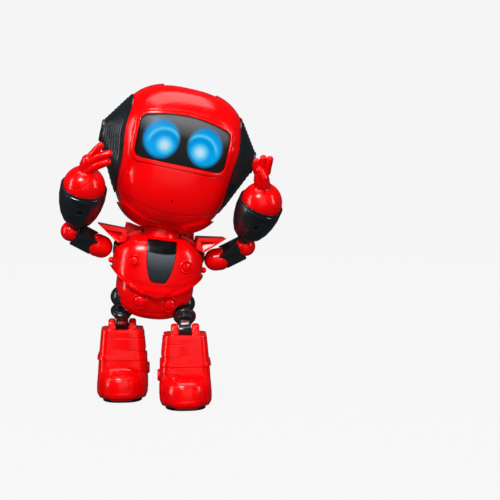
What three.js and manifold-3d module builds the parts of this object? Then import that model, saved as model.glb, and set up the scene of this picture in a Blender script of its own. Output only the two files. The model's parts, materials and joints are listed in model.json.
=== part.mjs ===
import * as THREE from 'three';
import { mergeVertices } from 'three/addons/utils/BufferGeometryUtils.js';
import Module from 'manifold-3d';

// Toy robot in millimetres, +Z up, facing -Y. "left" and "right" are as seen by someone facing it.

// Overall
const FIT = 0.3; // gap between neighbouring parts
const WALL = 1.8; // thickness of the moulded shells
const BODY_LEAN = 7.3; // degrees, the whole torso leans to the right
const BODY_YAW = 4; // degrees, the chest turns a little to the right
const TORSO_HEIGHT = 81.2; // torso centre above the floor

// Head, measured from its own centre
const HEAD = {
  width: 41, lowerWidth: 36.2, front: 34, back: 33, up: 43.6, down: 45.3, power: 2.7, fineness: 28,
};
const HEAD_TILT = 4.7; // degrees, on top of the body's lean
const NECK_PIVOT = 32; // above the torso centre
const HEAD_ABOVE_PIVOT = 39.3;
const VISOR = { halfWidth: 27.4, bottom: -4.8, top: 24.8, corner: 5, arch: 3.4 };
const BEZEL_WIDTH = 2.3;
const CROWN = { halfWidth: 16.6, low: 38.8, corner: 3 };
const EAR = { middle: 8, up: 24, down: 37, depth: 23, reach: 47, hub: 0.235, ribs: 5 };

// Torso, measured from its own centre
const CHEST = {
  width: 27.8, front: 21, back: 20, up: 20.5, down: 34, centre: 4.5, power: 2.6, fineness: 22,
};
const PELVIS = {
  width: 24, front: 16.2, back: 15.2, up: 20, down: 20.7, centre: -9, power: 2.4, fineness: 20,
};
const LIP = { middle: -14.3, side: -2.7, halfWidth: 26 }; // the belt's curved lower edge
const BAND = { middle: -7.4, side: -0.6, halfWidth: 26 }; // the belt's upper edge
const SHOULDER = { x: 38.2, z: 11.6 };
const HIP = { x: 19.6, z: -18.5 };

// Arms
const UPPER_ARM = 18.6; // shoulder ball to elbow ball
const SHOULDER_BALL = 7.1;
const STUB_RADIUS = 4; // the shoulder's axle
const ELBOW_BALL = 6.2;
const CUP_RIM = 33.2; // elbow centre to the rim of the forearm cup
const CUP_RADIUS = 13.8;
const CUP_INBOARD = 2.5; // the cup's axis passes this far inside the elbow ball
const DOME_RADIUS = 12.6;
const ARM_LIFT = { left: 64.8, right: 50.2 }; // degrees from straight up
const FOREARM_LEAN = { left: 3.7, right: 10.7 }; // degrees to the right of the torso's own upright
const ARM_FORWARD = 30; // degrees

// Legs and boots
const LEG = 22.5; // hip ball to ankle pin
const HIP_BALL = 6.8;
const ANKLE_HEIGHT = 46;
const BOOT = { halfWidth: 16, topHalfWidth: 13, height: 44, toe: 26.5, heel: 18, ridge: 25.6 };
const SOLE = 1.2;
const WHEEL_RADIUS = 7;
const LEG_SWING = [-8, 10]; // degrees back and forward from rest

const COLOURS = {
  red: { color: 0xd8060c, roughness: 0.28, metalness: 0 },
  dark: { color: 0x2c3439, roughness: 0.45, metalness: 0 },
  black: { color: 0x101214, roughness: 0.18, metalness: 0 },
  glow: { color: 0x12a4ec, roughness: 0.3, metalness: 0 },
  board: { color: 0x1c6b3a, roughness: 0.6, metalness: 0 },
  steel: { color: 0xa8abad, roughness: 0.35, metalness: 0.9 },
  rubber: { color: 0x1a1a1a, roughness: 0.85, metalness: 0 },
};

const rad = THREE.MathUtils.degToRad;
const SIDES = [['left', -1], ['right', 1]];

// ---------- solids ----------

const wasm = await Module();
wasm.setup();

function signedVolume(position, index) {
  const a = new THREE.Vector3();
  const b = new THREE.Vector3();
  const c = new THREE.Vector3();
  let volume = 0;
  for (let i = 0; i < index.length; i += 3) {
    a.fromArray(position, index[i] * 3);
    b.fromArray(position, index[i + 1] * 3);
    c.fromArray(position, index[i + 2] * 3);
    volume += a.dot(b.cross(c));
  }
  return volume;
}

// A closed three.js geometry as a manifold solid.
function solid(geometry) {
  const bare = geometry.clone();
  bare.deleteAttribute('normal');
  bare.deleteAttribute('uv');
  const merged = mergeVertices(bare, 1e-4);
  const position = Float32Array.from(merged.attributes.position.array);
  const triangles = [];
  for (let i = 0; i < merged.index.count; i += 3) {
    const [a, b, c] = [0, 1, 2].map((k) => merged.index.getX(i + k));
    if (a !== b && b !== c && c !== a) triangles.push(a, b, c);
  }
  if (signedVolume(position, triangles) < 0) triangles.reverse();
  const mesh = new wasm.Mesh({
    numProp: 3, vertProperties: position, triVerts: Uint32Array.from(triangles),
  });
  return new wasm.Manifold(mesh);
}

function geometryOf(body) {
  const { vertProperties, triVerts } = body.getMesh();
  const geometry = new THREE.BufferGeometry();
  geometry.setAttribute('position', new THREE.BufferAttribute(vertProperties, 3));
  geometry.setIndex(new THREE.BufferAttribute(triVerts, 1));
  geometry.computeVertexNormals();
  return geometry;
}

function part(name, body, colour) {
  const mesh = new THREE.Mesh(geometryOf(body), new THREE.MeshStandardMaterial(COLOURS[colour]));
  mesh.name = name;
  return mesh;
}

// ---------- shapes ----------

// The low and high ends along X of a stretch on one side of the middle.
function between(side, near, far) {
  return side > 0 ? [near, far] : [-far, -near];
}

// A rounded box whose half sizes differ above and below, and in front of and behind its centre.
// Its outline seen from above may be rounder than its sides, with an exponent of its own.
function bulge(size, grow = 0, fineness = size.fineness) {
  const geometry = new THREE.SphereGeometry(1, fineness, Math.round(fineness * 0.65));
  geometry.rotateZ(Math.PI / 2);
  const position = geometry.attributes.position;
  const p = new THREE.Vector3();
  for (let i = 0; i < position.count; i++) {
    p.fromBufferAttribute(position, i).normalize();
    const upperShare = THREE.MathUtils.smoothstep(p.z, -0.35, 0.35);
    const width = THREE.MathUtils.lerp(size.lowerWidth ?? size.width, size.width, upperShare);
    const depth = p.y < 0 ? size.front : size.back;
    const height = p.z > 0 ? size.up : size.down;
    const plan = size.plan ?? size.power;
    const flat = Math.abs(p.x / (width + grow)) ** plan + Math.abs(p.y / (depth + grow)) ** plan;
    const sum = flat ** (size.power / plan) + Math.abs(p.z / (height + grow)) ** size.power;
    p.multiplyScalar(sum ** (-1 / size.power));
    position.setXYZ(i, p.x, p.y, p.z + (size.centre ?? 0));
  }
  return solid(geometry);
}

// The skin of a rounded box between two distances from its surface.
function skin(size, outside, inside) {
  return bulge(size, outside).subtract(bulge(size, inside, Math.round(size.fineness * 0.6)));
}

function box(x0, x1, y0, y1, z0, z1) {
  const geometry = new THREE.BoxGeometry(x1 - x0, y1 - y0, z1 - z0);
  geometry.translate((x0 + x1) / 2, (y0 + y1) / 2, (z0 + z1) / 2);
  return solid(geometry);
}

function ball(radius, x = 0, y = 0, z = 0, segments = 12) {
  const geometry = new THREE.SphereGeometry(radius, segments, Math.round(segments * 0.6));
  geometry.translate(x, y, z);
  return solid(geometry);
}

// A shape of revolution about +Z from [radius, height] pairs that start and end on the axis.
function lathe(profile, segments = 20) {
  const geometry = new THREE.LatheGeometry(profile.map(([r, z]) => new THREE.Vector2(r, z)), segments);
  return geometry.rotateX(Math.PI / 2);
}

function turned(profile, segments) {
  return solid(lathe(profile, segments));
}

// A cylinder between two heights of an axis through the point `at`.
function rod(radius, from, to, axis = 'z', at = [0, 0, 0], segments = 14) {
  const geometry = new THREE.CylinderGeometry(radius, radius, to - from, segments);
  geometry.translate(0, (from + to) / 2, 0);
  if (axis === 'z') geometry.rotateX(Math.PI / 2);
  if (axis === 'x') geometry.rotateZ(-Math.PI / 2);
  return solid(geometry.translate(...at));
}

function extruded(shape, depth, bevel) {
  return new THREE.ExtrudeGeometry(shape, {
    depth: depth - 2 * bevel,
    curveSegments: 4,
    bevelEnabled: bevel > 0,
    bevelThickness: bevel,
    bevelSize: bevel,
    bevelOffset: -bevel,
    bevelSegments: 1,
  });
}

// A front outline (x right, y up) pushed through from the depth yFront to the depth yBack.
function slab(shape, yFront, yBack, bevel = 0) {
  const geometry = extruded(shape, yBack - yFront, bevel).rotateX(Math.PI / 2);
  return solid(geometry.translate(0, yBack - bevel, 0));
}

// A floor outline (x right, y back) raised from one height to another.
function raised(shape, zLow, zHigh, bevel = 0) {
  return solid(extruded(shape, zHigh - zLow, bevel).translate(0, 0, zLow + bevel));
}

function roundedBox(halfWidth, low, high, corner) {
  const shape = new THREE.Shape();
  shape.moveTo(-halfWidth + corner, low);
  shape.lineTo(halfWidth - corner, low);
  shape.absarc(halfWidth - corner, low + corner, corner, -Math.PI / 2, 0);
  shape.absarc(halfWidth - corner, high - corner, corner, 0, Math.PI / 2);
  shape.absarc(-halfWidth + corner, high - corner, corner, Math.PI / 2, Math.PI);
  shape.absarc(-halfWidth + corner, low + corner, corner, Math.PI, Math.PI * 1.5);
  return shape;
}

function polygon(points) {
  return new THREE.Shape(points.map(([x, y]) => new THREE.Vector2(x, y)));
}

const FAR = 70; // beyond every part of the robot, for the cutting solids

// Everything below a smile-shaped curve that is lowest at x = 0, right through from front to back.
function belowCurve(middle, side, halfWidth, drop = 0) {
  const reach = 48;
  const steps = 16;
  const points = [[reach, -FAR * 2], [-reach, -FAR * 2]];
  for (let i = 0; i <= steps; i++) {
    const x = -reach + (2 * reach * i) / steps;
    points.push([x, middle + (side - middle) * (x / halfWidth) ** 2 - drop]);
  }
  return slab(polygon(points), -FAR, FAR);
}

// ---------- head ----------

function visorOutline(grow) {
  const half = VISOR.halfWidth + grow;
  const low = VISOR.bottom - grow;
  const high = VISOR.top + grow - VISOR.arch;
  const corner = VISOR.corner + grow * 0.6;
  const shape = new THREE.Shape();
  shape.moveTo(-half + corner, low);
  shape.lineTo(half - corner, low);
  shape.absarc(half - corner, low + corner, corner, -Math.PI / 2, 0);
  shape.absarc(half - corner, high - corner, corner, 0, Math.PI * 0.46);
  shape.quadraticCurveTo(0, high + VISOR.arch * 2, -half + corner, high);
  shape.absarc(-half + corner, high - corner, corner, Math.PI * 0.54, Math.PI);
  shape.absarc(-half + corner, low + corner, corner, Math.PI, Math.PI * 1.5);
  return shape;
}

const JAW = { middle: -34, side: -27.5, halfWidth: 29 };
const JAW_HOLE = 13;
const HEAD_SPLIT = 4; // depth of the joint between the front and rear shells

function headShells() {
  const shell = skin(HEAD, 0, -WALL)
    .subtract(belowCurve(JAW.middle, JAW.side, JAW.halfWidth))
    .subtract(slab(roundedBox(CROWN.halfWidth + FIT, CROWN.low, FAR, CROWN.corner), -FAR, FAR));
  const front = shell
    .subtract(box(-FAR, FAR, HEAD_SPLIT, FAR, -FAR, FAR))
    .subtract(slab(visorOutline(BEZEL_WIDTH + FIT), -FAR, 0))
    .subtract(rod(0.6, -FAR, 0, 'y', [0.7, 0, -26.2], 10));
  const rear = shell.subtract(box(-FAR, FAR, -FAR, HEAD_SPLIT + FIT, -FAR, FAR));
  return [part('head_front_shell', front, 'red'), part('head_rear_shell', rear, 'red')];
}

function crownPlate() {
  const strip = slab(roundedBox(CROWN.halfWidth, CROWN.low + FIT, FAR, CROWN.corner), -FAR, FAR);
  return part('crown_plate', skin(HEAD, -0.9, -0.9 - WALL).intersect(strip), 'red');
}

// The jaw, with a raised plate low on each side and a hole for the neck.
function jawShell() {
  const plate = (side) => slab(polygon([
    [side * 9, -50], [side * 11, -41], [side * 26, -34], [side * 32, -34], [side * 32, -50],
  ]), -30, -6);
  const raisedSkin = skin(HEAD, 1.5, -WALL);
  const jaw = skin(HEAD, 0, -WALL)
    .add(raisedSkin.intersect(plate(-1)))
    .add(raisedSkin.intersect(plate(1)))
    .intersect(belowCurve(JAW.middle, JAW.side, JAW.halfWidth, FIT))
    .subtract(rod(JAW_HOLE, -FAR, -30));
  return part('jaw_shell', jaw, 'red');
}

function visor() {
  const ring = slab(visorOutline(BEZEL_WIDTH), -FAR, 0).subtract(slab(visorOutline(0), -FAR, 0));
  const pane = slab(visorOutline(-FIT), -FAR, 0);
  return [
    part('visor_bezel', skin(HEAD, 0.9, -WALL - 0.6).intersect(ring), 'red'),
    part('visor_lens', skin(HEAD, -0.7, -2.5).intersect(pane), 'black'),
  ];
}

const EYE = { x: 13.2, z: 8.6, halfWidth: 10.9, halfHeight: 12 };

function eyes() {
  const disc = (side) => {
    const outline = new THREE.Shape();
    outline.absellipse(side * EYE.x, EYE.z, EYE.halfWidth, EYE.halfHeight, 0, Math.PI * 2);
    return skin(HEAD, -4.2, -5.2).intersect(slab(outline, -FAR, 0));
  };
  const board = box(-23, 23, -19, -17.4, -3, 19);
  return [
    ...SIDES.map(([name, side]) => part(`eye_disc_${name}`, disc(side), 'glow')),
    part('eye_board', board, 'board'),
  ];
}

// Half width of the head at a depth and height.
function headSide(y, z) {
  const upperShare = THREE.MathUtils.smoothstep((0.7 * z) / Math.hypot(y, z), -0.35, 0.35);
  const width = THREE.MathUtils.lerp(HEAD.lowerWidth, HEAD.width, upperShare);
  const depth = y < 0 ? HEAD.front : HEAD.back;
  const height = z > 0 ? HEAD.up : HEAD.down;
  const left = 1 - Math.abs(y / depth) ** HEAD.power - Math.abs(z / height) ** HEAD.power;
  return width * Math.max(left, 0) ** (1 / HEAD.power);
}

// A ribbed cone that rises from the side of the head to a flat boss. Its rim is squarer above.
function earCap(name, side) {
  const profile = [[0, -9], [1, -9], [1, 0]];
  for (let i = 1; i <= EAR.ribs; i++) {
    const climb = i / EAR.ribs;
    const share = THREE.MathUtils.lerp(1, EAR.hub, climb);
    profile.push([share + 0.07, climb - 0.04], [share, climb]);
  }
  profile.push([0.19, 1.1], [0, 1.1]);
  const cone = lathe(profile, 28);
  const position = cone.attributes.position;
  for (let i = 0; i < position.count; i++) {
    const [x, y, climb] = [position.getX(i), position.getY(i), position.getZ(i)];
    const share = Math.hypot(x, y);
    const corner = y > 0 ? 3 : 2;
    const turn = share > 0 ? [x / share, y / share] : [1, 0];
    const squared = (Math.abs(turn[0]) ** corner + Math.abs(turn[1]) ** corner) ** (-1 / corner);
    const rimY = turn[0] * squared * EAR.depth;
    const rimZ = turn[1] * squared * (y > 0 ? EAR.up : EAR.down);
    const rim = headSide(rimY, EAR.middle + rimZ) + 0.9;
    const out = climb > 0 ? THREE.MathUtils.lerp(rim, EAR.reach, climb) : rim + climb;
    position.setXYZ(i, side * out, share * rimY, EAR.middle + share * rimZ);
  }
  return part(`ear_cap_${name}`, solid(cone).subtract(bulge(HEAD, FIT)), 'dark');
}

// A plate inside the jaw with the cup that sits on the neck ball.
function neckSocket() {
  const pivot = -HEAD_ABOVE_PIVOT;
  const profile = [
    [0, pivot + 5.4], [3.6, pivot + 4.1], [5.2, pivot + 1.8], [7, pivot + 1.8],
    [8.5, pivot + 5], [21, pivot + 5.4], [21, pivot + 7.2], [0, pivot + 8.5],
  ];
  return part('neck_socket', turned(profile), 'dark');
}

function head() {
  const group = new THREE.Group();
  group.add(...headShells(), crownPlate(), jawShell(), ...visor(), ...eyes(), neckSocket());
  SIDES.forEach(([name, side]) => group.add(earCap(name, side)));
  return group;
}

// ---------- neck ----------

// The ring that turns in the collar.
function neckRing() {
  const profile = [[0, 17], [8, 17], [8, 22.6], [4.4, 23], [4.4, 24.8], [0, 24.8]];
  return part('neck_ring', turned(profile), 'dark');
}

// The ball that the head nods and tilts on, with its short foot.
function neckBall() {
  const foot = rod(3.2, 25.9, NECK_PIVOT);
  return part('neck_ball', ball(5, 0, 0, NECK_PIVOT).add(foot), 'dark');
}

// ---------- torso ----------

const torso = new THREE.Group();
torso.position.z = TORSO_HEIGHT;
torso.rotation.set(0, rad(BODY_LEAN), rad(BODY_YAW), 'YZX');
torso.updateMatrixWorld(true);

function hipOf(side) {
  return torso.localToWorld(new THREE.Vector3(side * HIP.x, 0, HIP.z));
}

const PANEL = { top: 20, bottom: -5.2, halfWidth: 8.7, foot: 3 };

// A shield: straight along its top, its sides drawing in to a short rounded foot.
function panelOutline(grow) {
  const steps = 7;
  const side = [];
  for (let i = 0; i <= steps; i++) {
    const share = Math.sin((Math.PI / 2) * (i / steps));
    const halfWidth = PANEL.foot + (PANEL.halfWidth - PANEL.foot) * (1 - share ** 2.5) ** 0.6;
    side.push([halfWidth + grow, THREE.MathUtils.lerp(PANEL.top + grow, PANEL.bottom - grow, share)]);
  }
  return polygon([...side, ...side.map(([x, z]) => [-x, z]).reverse()]);
}

// Depth of a bulge's front surface at a point seen from the front.
function frontOf(size, x, z) {
  const up = z - size.centre;
  const height = up > 0 ? size.up : size.down;
  const left = 1 - Math.abs(x / size.width) ** size.power - Math.abs(up / height) ** size.power;
  return -size.front * left ** (1 / size.power);
}

const LIP_HEIGHT = 0.9;
const BUCKLE = { halfWidth: 8, top: -9.8, low: -14.8 };

// The recessed belt under the chest, its thin lower lip and the crescent buckle.
function belt() {
  const { middle, side, halfWidth } = LIP;
  const band = skin(CHEST, -0.5, -WALL)
    .subtract(belowCurve(middle, side, halfWidth))
    .intersect(belowCurve(BAND.middle, BAND.side, BAND.halfWidth, -0.6));
  const lip = skin(CHEST, 1, -1.2)
    .subtract(belowCurve(middle, side, halfWidth))
    .intersect(belowCurve(middle, side, halfWidth, -LIP_HEIGHT));
  const crescent = new THREE.Shape();
  crescent.moveTo(-BUCKLE.halfWidth, BUCKLE.top);
  crescent.quadraticCurveTo(0, 2 * BUCKLE.low - BUCKLE.top, BUCKLE.halfWidth, BUCKLE.top);
  crescent.quadraticCurveTo(0, BUCKLE.top - 1.2, -BUCKLE.halfWidth, BUCKLE.top);
  const buckle = skin(CHEST, 1.8, -1).intersect(slab(crescent, -FAR, 0));
  return band.add(lip).add(buckle);
}

const CHEST_BOSS = { x: 15.8, z: 6, radius: 3.4 };
const SIDE_STUD = { x: 28.6, y: -3, z: 3.8, radius: 1.9 };
const NECK_HOLE = 12.7;
const TORSO_SPLIT = 2; // depth of the joint between the chest and back shells
const DOOR = { halfWidth: 12, low: -7, high: 13, corner: 2 };

function doorOutline(grow) {
  return roundedBox(DOOR.halfWidth + grow, DOOR.low - grow, DOOR.high + grow, DOOR.corner);
}

// The part of the chest above its neckline, which is sunk a little.
function necklineStep() {
  const above = [[26, 12.8], [21.8, 16], [13.8, 21.7]];
  const outline = polygon([...above, ...above.map(([x, z]) => [-x, z]).reverse(), [-26, 40], [26, 40]]);
  return bulge(CHEST, 3).subtract(bulge(CHEST, -1.3)).intersect(slab(outline, -FAR, -2));
}

// The collar's back wall, which rises to a short point behind each shoulder.
function collarWall() {
  const half = [[19.5, 12], [22.5, 19], [21.5, 27], [19, 26.8], [14.5, 25.6], [9, 25]];
  return slab(polygon([...half, ...half.map(([x, z]) => [-x, z]).reverse()]), 13.5, 16.5);
}

function torsoShells() {
  const neckHole = rod(NECK_HOLE, 12, FAR);
  const shoulderHole = rod(STUB_RADIUS + FIT, -FAR, FAR, 'x', [0, 0, SHOULDER.z]);
  const upper = skin(CHEST, 0, -2 * WALL)
    .subtract(belowCurve(BAND.middle, BAND.side, BAND.halfWidth))
    .subtract(necklineStep());
  const studs = SIDES.map(([, side]) => [
    ball(CHEST_BOSS.radius, side * CHEST_BOSS.x, -17, CHEST_BOSS.z, 10),
    ball(SIDE_STUD.radius, side * SIDE_STUD.x, SIDE_STUD.y, SIDE_STUD.z, 10),
  ]).flat();
  const chest = [belt(), ...studs].reduce((body, piece) => body.add(piece), upper)
    .subtract(neckHole)
    .subtract(shoulderHole)
    .subtract(bulge(CHEST, -2 * WALL, 14))
    .subtract(box(-FAR, FAR, TORSO_SPLIT, FAR, -FAR, FAR))
    .subtract(slab(panelOutline(FIT), -FAR, 0));
  const switchSlot = box(-21, -14, 8, FAR, 3, 7);
  const back = skin(CHEST, 0, -WALL)
    .subtract(belowCurve(LIP.middle, LIP.side, LIP.halfWidth))
    .add(collarWall().subtract(bulge(CHEST, -WALL, 14)))
    .subtract(neckHole)
    .subtract(shoulderHole)
    .subtract(box(-FAR, FAR, -FAR, TORSO_SPLIT + FIT, -FAR, FAR))
    .subtract(slab(doorOutline(0), 0, FAR))
    .subtract(switchSlot);
  return [
    part('chest_shell', chest, 'red'),
    part('back_shell', back, 'red'),
    part('battery_door', skin(CHEST, 0.4, -WALL).intersect(slab(doorOutline(-FIT), 0, FAR)), 'red'),
    part('chest_panel', skin(CHEST, 0.5, -1.6).intersect(slab(panelOutline(0), -FAR, -4)), 'black'),
  ];
}

function neckCollar() {
  const section = [[8.4, 13], [12.1, 13], [12.1, 22.3], [11, 24.7], [11, 27.2], [8.4, 27.2], [8.4, 13]];
  return part('neck_collar', turned(section), 'red');
}

// A pointed wing over the shoulder.
function shoulderGuard(name, side) {
  const outline = polygon([[side * 22, 24], [side * 39.4, 25.4], [side * 26.5, 15.2], [side * 21, 17]]);
  const stubRoom = rod(STUB_RADIUS + FIT, -FAR, FAR, 'x', [0, 0, SHOULDER.z]);
  const wing = slab(outline, -12, 7, 1).subtract(bulge(CHEST, FIT)).subtract(stubRoom);
  return part(`shoulder_guard_${name}`, wing, 'red');
}

const BELLY_BOSS = { x: 8.9, z: -18.4, radius: 4.8 };

// The space a leg sweeps under its hip, drawn at both ends of its swing and at rest.
function legRoom(side) {
  const profile = [[0, 0], [5.2, 0], [5.2, -8], [7.6, -8.6], [7.6, -20], [0, -20]];
  const toTorso = torso.matrixWorld.clone().invert();
  return [LEG_SWING[0], 0, LEG_SWING[1]].map((swing) => {
    const room = lathe(profile, 14).applyMatrix4(legMatrix(side, rad(swing)));
    return solid(room.applyMatrix4(toTorso));
  });
}

// The pelvis with its two belly bosses, open above and around the hip balls.
function pelvis() {
  const { x, z, radius } = BELLY_BOSS;
  const y = frontOf(PELVIS, x, z);
  const shell = SIDES.reduce((body, [, side]) => {
    const boss = rod(radius, y - 0.6, y + 1.6, 'y', [side * x, 0, z]).add(ball(3, side * x, y - 0.2, z, 10));
    const hipRoom = ball(HIP_BALL + 0.6, side * HIP.x, 0, HIP.z);
    return legRoom(side).reduce((left, room) => left.subtract(room), body.add(boss).subtract(hipRoom));
  }, skin(PELVIS, 0, -WALL).subtract(box(-FAR, FAR, -FAR, FAR, 1, FAR)));
  return part('pelvis_shell', shell, 'red');
}

function torsoInside() {
  return [
    part('battery_pack', box(-11, 11, 1.5, 9, -6, 11), 'dark'),
    part('main_board', box(-15, 15, -3, -1.4, -8, 12), 'board'),
    part('speaker', rod(7, -11, -5, 'y', [0, 0, -6]), 'black'),
  ];
}

function powerSwitch() {
  return part('power_switch', box(-18.6, -15.4, 10, 17.5, 3.5, 6.5), 'black');
}

// ---------- arms ----------

// A round-ended stick between two points.
function finger([from, to, radius]) {
  const start = new THREE.Vector3(...from);
  const along = new THREE.Vector3(...to).sub(start);
  const geometry = new THREE.CapsuleGeometry(radius, along.length(), 2, 7);
  geometry.translate(0, along.length() / 2, 0);
  geometry.applyQuaternion(new THREE.Quaternion().setFromUnitVectors(
    new THREE.Vector3(0, 1, 0), along.clone().normalize(),
  ));
  return solid(geometry.translate(...from));
}

// Palm, fingers and thumb as [from, to, radius], from the middle of the dome with +Z up the forearm.
const HANDS = {
  left: [
    [[-1, 0, 11], [-1, 0, 18], 4.6],
    [[-0.5, 0.5, 20], [4.6, 0.8, 28.8], 2.6],
    [[-1.2, -0.8, 16.5], [10.2, -1, 25.6], 2.7],
    [[0, -2.2, 12.8], [10.2, -2.5, 20.8], 2.8],
  ],
  right: [
    [[-3.4, 0, 10.5], [-7.6, 0, 18.5], 5],
    [[-10.6, 0, 19.5], [-13.6, -0.6, 26], 2.6],
    [[-7.8, 0.5, 21], [-10.2, 0.5, 28.8], 2.6],
    [[-5, 0, 21], [-6.2, 0.5, 29.4], 2.6],
    [[-10.4, -3.4, 22.5], [-3.6, -5.2, 14], 2.5],
  ],
};

function shoulderParts(name, side) {
  const egg = ball(SHOULDER_BALL).add(ball(SHOULDER_BALL - 0.1, -side * 2.6, 0, -0.8));
  const screw = rod(1.3, -FAR, -5, 'y', [-side * 2.6, 0, -2.4], 10);
  return [
    part(`shoulder_stub_${name}`, rod(STUB_RADIUS, ...between(-side, 10, 16.5), 'x'), 'dark'),
    part(`shoulder_ball_${name}`, egg.subtract(screw), 'red'),
  ];
}

function upperArmParts(name, side) {
  const link = box(-5.2, 5.2, -5.6, 5.6, 2.5, UPPER_ARM - 2.6)
    .subtract(ball(SHOULDER_BALL + FIT))
    .subtract(ball(ELBOW_BALL + FIT, 0, 0, UPPER_ARM));
  const screw = rod(1.2, -FAR, -4.4, 'y', [-side * 1.5, 0, UPPER_ARM - 2], 10);
  return [
    part(`upper_arm_link_${name}`, link, 'dark'),
    part(`elbow_ball_${name}`, ball(ELBOW_BALL, 0, 0, UPPER_ARM).subtract(screw), 'red'),
  ];
}

function forearmCup(name, side) {
  const profile = [
    [0, 4], [4.6, 4], [4.6, 8.2], [7.2, 8.2], [9, 10], [11.3, 14.5], [12.9, 20], [CUP_RADIUS, 26],
    [CUP_RADIUS, CUP_RIM], [DOME_RADIUS + 0.5, CUP_RIM], [DOME_RADIUS, CUP_RIM - 4],
    [10.6, CUP_RIM - 8], [6.5, CUP_RIM - 11.8], [0, CUP_RIM - 13.2],
  ];
  const cup = solid(lathe(profile).translate(-side * CUP_INBOARD, 0, 0))
    .subtract(ball(ELBOW_BALL + FIT))
    .subtract(rod(1.5, -FAR, -11, 'y', [-side * CUP_INBOARD, 0, 22], 12));
  return part(`forearm_cup_${name}`, cup, 'dark');
}

function handParts(name) {
  const fingers = HANDS[name].map(finger).reduce((body, one) => body.add(one));
  return [
    part(`hand_dome_${name}`, ball(DOME_RADIUS, 0, 0, 0, 16), 'red'),
    part(`hand_fingers_${name}`, fingers.subtract(ball(DOME_RADIUS + FIT, 0, 0, 0, 16)), 'red'),
  ];
}

function arm(name, side) {
  const shoulder = new THREE.Group();
  shoulder.position.set(side * SHOULDER.x, 0, SHOULDER.z);
  shoulder.rotation.x = rad(ARM_FORWARD);
  shoulder.add(...shoulderParts(name, side));

  const upperArm = new THREE.Group();
  upperArm.rotation.y = rad(side * ARM_LIFT[name]);
  upperArm.add(...upperArmParts(name, side));
  shoulder.add(upperArm);

  const forearm = new THREE.Group();
  forearm.position.z = UPPER_ARM;
  forearm.rotation.y = rad(FOREARM_LEAN[name] - side * ARM_LIFT[name]);
  forearm.add(forearmCup(name, side));
  upperArm.add(forearm);

  const hand = new THREE.Group();
  hand.position.set(-side * CUP_INBOARD, 0, CUP_RIM);
  hand.add(...handParts(name));
  forearm.add(hand);
  return shoulder;
}

// ---------- legs ----------

function legParts(name) {
  const collar = turned([
    [0, -15.6], [4.6, -15.4], [5.3, -14.6], [5.3, -13.4], [4.9, -12.5], [6.8, -12.2], [7, -10.2],
    [4.7, -9.2], [4.5, -6], [0, -6],
  ], 24).subtract(ball(HIP_BALL + FIT));
  const post = box(-3.7, 3.7, -3.2, 3.2, -LEG, -15.9)
    .add(rod(3.2, -3.7, 3.7, 'x', [0, 0, -LEG]))
    .add(rod(1.5, -6.4, 6.4, 'x', [0, 0, -LEG], 14));
  return [
    part(`hip_ball_${name}`, ball(HIP_BALL), 'dark'),
    part(`knee_collar_${name}`, collar, 'dark'),
    part(`ankle_post_${name}`, post, 'dark'),
  ];
}

const SOLE_PLATE = { halfWidth: 12.2, front: -18.4, back: 11.8, toeCorner: 10, heelCorner: 6 };

// The outline of the sole plate, with a rounder toe than heel.
function soleOutline() {
  const { halfWidth, front, back, toeCorner, heelCorner } = SOLE_PLATE;
  const shape = new THREE.Shape();
  shape.moveTo(-halfWidth + toeCorner, front);
  shape.lineTo(halfWidth - toeCorner, front);
  shape.absarc(halfWidth - toeCorner, front + toeCorner, toeCorner, -Math.PI / 2, 0);
  shape.absarc(halfWidth - heelCorner, back - heelCorner, heelCorner, 0, Math.PI / 2);
  shape.absarc(-halfWidth + heelCorner, back - heelCorner, heelCorner, Math.PI / 2, Math.PI);
  shape.absarc(-halfWidth + toeCorner, front + toeCorner, toeCorner, Math.PI, Math.PI * 1.5);
  return shape;
}

const SHIN = { front: -13, back: 14, corner: 6, roundBelow: 7, roundBy: 0.17 };

// The shin's upright block, drawn in a little towards the top and rounded in at the bottom.
function shinBlock(grow, low, high, steps = 1) {
  const half = BOOT.halfWidth + grow;
  const shape = roundedBox(half, SHIN.front - grow, SHIN.back + grow, SHIN.corner + grow);
  const geometry = new THREE.ExtrudeGeometry(shape, {
    depth: high - low, steps, curveSegments: 3, bevelEnabled: false,
  });
  geometry.translate(0, 0, low);
  const position = geometry.attributes.position;
  for (let i = 0; i < position.count; i++) {
    const z = position.getZ(i);
    const rise = Math.max(0, z / BOOT.height) ** 1.5;
    const sink = Math.max(0, 1 - z / SHIN.roundBelow) ** 2;
    const taper = 1 - (1 - BOOT.topHalfWidth / BOOT.halfWidth) * rise - SHIN.roundBy * sink;
    position.setXY(i, position.getX(i) * taper, position.getY(i) * taper);
  }
  return solid(geometry);
}

const HEEL = {
  width: BOOT.halfWidth, front: 12, back: BOOT.heel, up: 16.5, down: 8.2, power: 3, centre: 8.7, fineness: 14,
};
const TOE = {
  width: BOOT.halfWidth + 1.2, front: BOOT.toe, back: BOOT.heel, up: 13, down: 7.6, power: 3.4, plan: 2.2,
  centre: 8.2, fineness: 22,
};
const KNOB = { radius: 3.7, from: 14, to: 17, depth: 1, height: 18.5 };

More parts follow.
